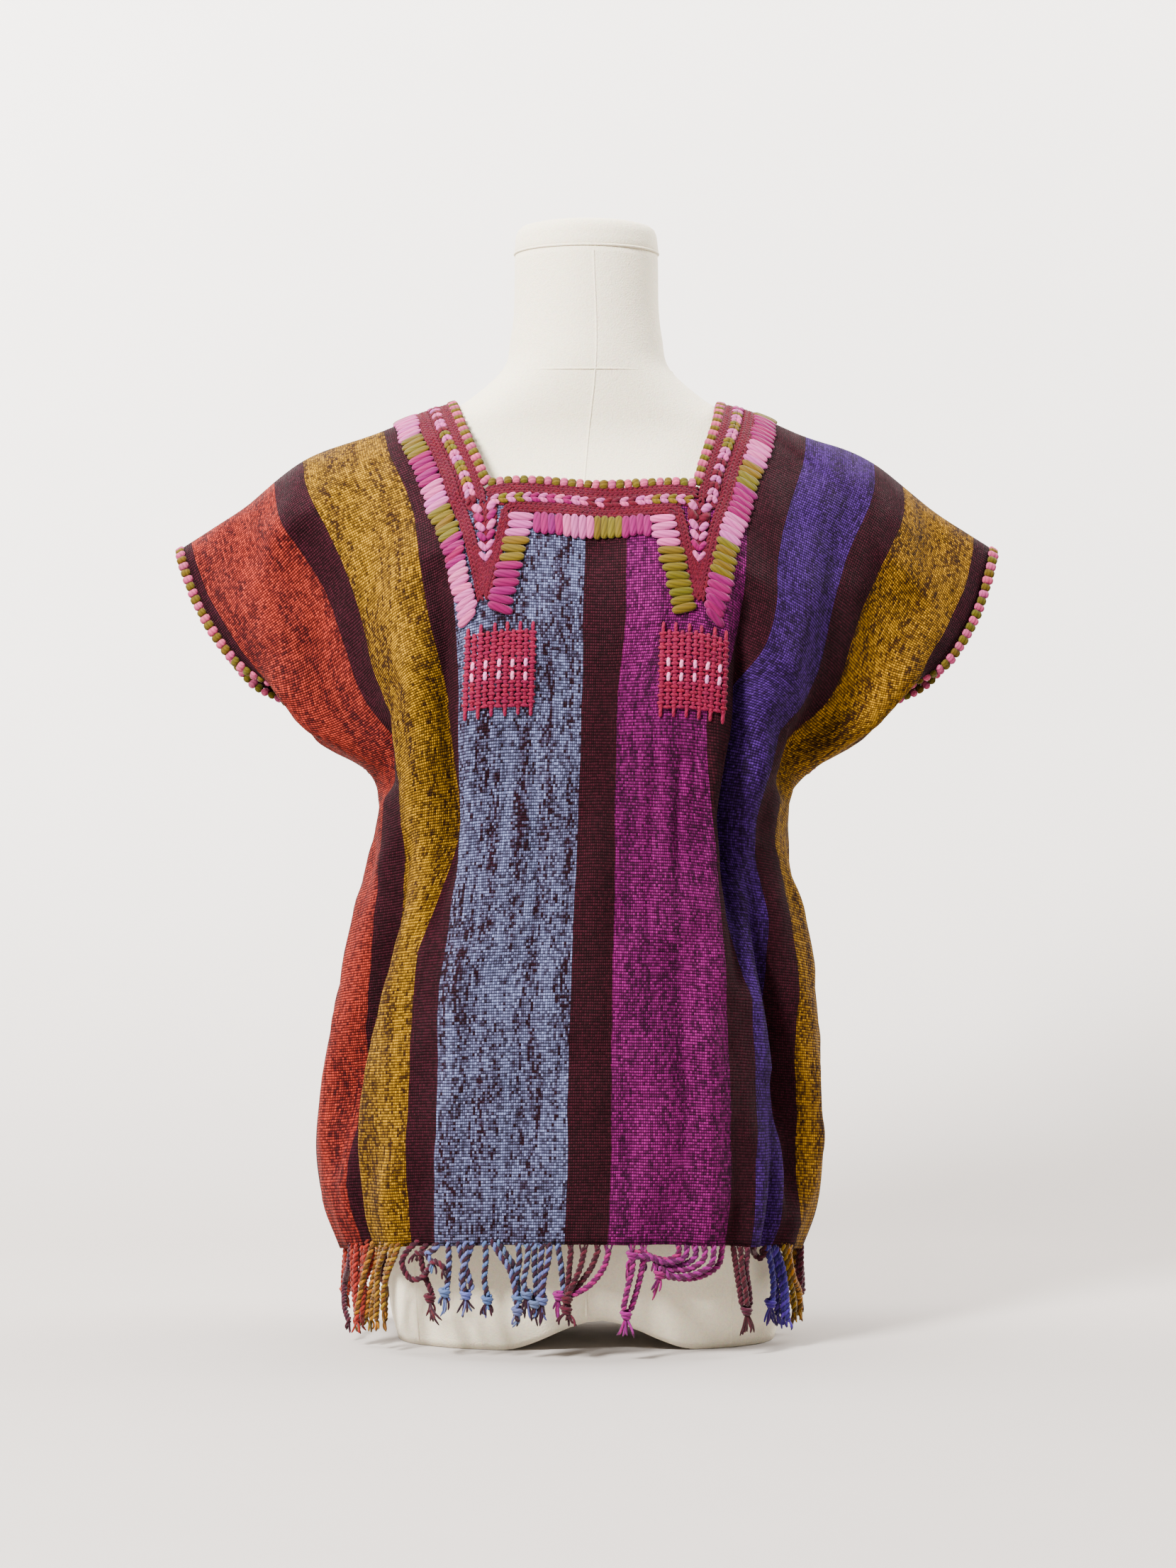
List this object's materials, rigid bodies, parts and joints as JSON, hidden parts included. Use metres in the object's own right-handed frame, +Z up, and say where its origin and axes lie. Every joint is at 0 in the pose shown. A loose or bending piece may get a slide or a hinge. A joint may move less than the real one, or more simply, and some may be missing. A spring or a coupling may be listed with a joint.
{
  "type": "huipil blouse on dress form",
  "caption": "Short-sleeved striped huipil blouse with an embroidered square neckline, darned patches and a twisted fringe, worn on a limbless cream dress form that stands on its flat base.",
  "frame": {"origin": "centre of the dress form's base, on the surface that it stands on", "axes": "+Z up, X across the blouse with its left sleeve as seen from the front at -X, and the front faces -Y"},
  "size_m": [0.5643, 0.2596, 0.7636],
  "materials": {
    "cream_jersey": "smooth matt cream knitted jersey over a firm form",
    "striped_web": "thick matt handwoven cotton in lengthwise stripes of maroon, rust, mustard, slate blue, purple and indigo",
    "rose_stitch": "dusty rose cotton in close rows of chain stitch and in darned squares",
    "satin_stitch": "padded satin stitches in light pink, magenta and olive cotton",
    "edge_yarn": "close overcast edging that alternates light pink and olive",
    "fringe_yarn": "warp ends twisted into knotted cords in the stripes' colours"
  },
  "bodies": {
    "root": {"form_torso": "cream_jersey", "form_cap": "cream_jersey", "web_front": "striped_web", "web_back": "striped_web", "band_side_left": "rose_stitch", "band_side_right": "rose_stitch", "band_bar_front": "rose_stitch", "band_bar_back": "rose_stitch", "point_left": "rose_stitch", "point_right": "rose_stitch", "patch_left": "rose_stitch", "patch_right": "rose_stitch", "satin_side_left": "satin_stitch", "satin_side_right": "satin_stitch", "satin_point_left": "satin_stitch", "satin_point_right": "satin_stitch", "satin_bar_front": "satin_stitch", "satin_bar_back": "satin_stitch", "cord_neck": "edge_yarn", "cord_sleeve_left": "edge_yarn", "cord_sleeve_right": "edge_yarn", "fringe_front": "fringe_yarn", "fringe_back": "fringe_yarn"}
  },
  "joints": []
}
